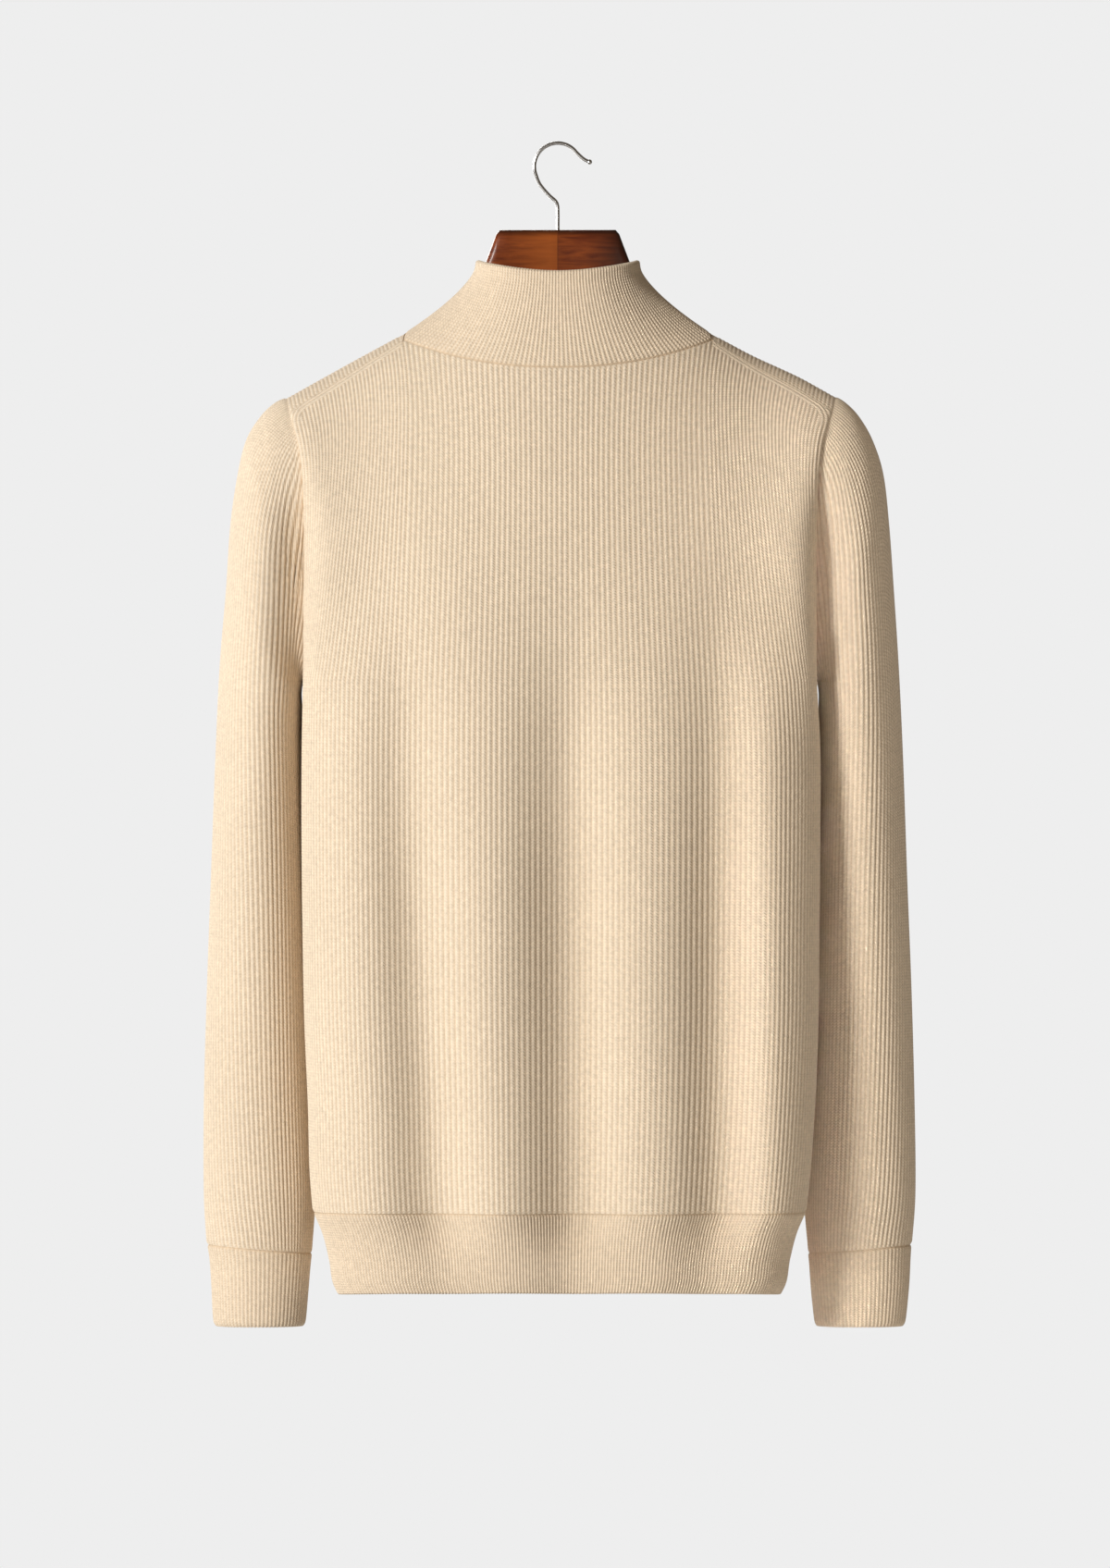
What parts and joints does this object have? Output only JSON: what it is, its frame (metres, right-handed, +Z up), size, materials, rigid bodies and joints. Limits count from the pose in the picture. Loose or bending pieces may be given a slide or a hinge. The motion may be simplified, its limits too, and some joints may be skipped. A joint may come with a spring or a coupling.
{
  "type": "zip-up cardigan on a hanger",
  "caption": "Rib-knit zip-up cardigan with a stand collar, filled out and hanging on a wooden hanger with a wire hook.",
  "frame": {"origin": "inner underside of the hook's crown, where a rail carries it", "axes": "+Z up, -Y out of the garment's front, +X to the wearer's left"},
  "size_m": [0.5254, 0.1856, 0.8717],
  "materials": {
    "back": "matt ribbed knit",
    "left_front": "matt ribbed knit",
    "right_front": "matt ribbed knit",
    "left_sleeve": "matt ribbed knit",
    "right_sleeve": "matt ribbed knit",
    "collar": "matt ribbed knit",
    "hem_band": "matt ribbed knit",
    "left_cuff": "matt ribbed knit",
    "right_cuff": "matt ribbed knit",
    "zip_tape_left": "woven tape",
    "zip_tape_right": "woven tape",
    "zip_chain": "satin",
    "zip_slider": "satin",
    "zip_pull": "satin",
    "zip_box": "satin",
    "hanger": "glossy varnish",
    "hook": "polished"
  },
  "bodies": {
    "garment": {"back": "back", "left_front": "left_front", "right_front": "right_front", "left_sleeve": "left_sleeve", "right_sleeve": "right_sleeve", "collar": "collar", "hem_band": "hem_band", "left_cuff": "left_cuff", "right_cuff": "right_cuff", "zip_tape_left": "zip_tape_left", "zip_tape_right": "zip_tape_right", "zip_chain": "zip_chain", "zip_slider": "zip_slider", "zip_box": "zip_box", "hanger": "hanger", "hook": "hook"},
    "pull": {"zip_pull": "zip_pull"}
  },
  "joints": [
    {"name": "pull_hinge", "type": "hinge", "parent": "garment", "child": "pull", "pos_m": [0, -0.06623, -0.15278], "axis": [-1, 0, 0], "range_deg": [0, 160]}
  ]
}
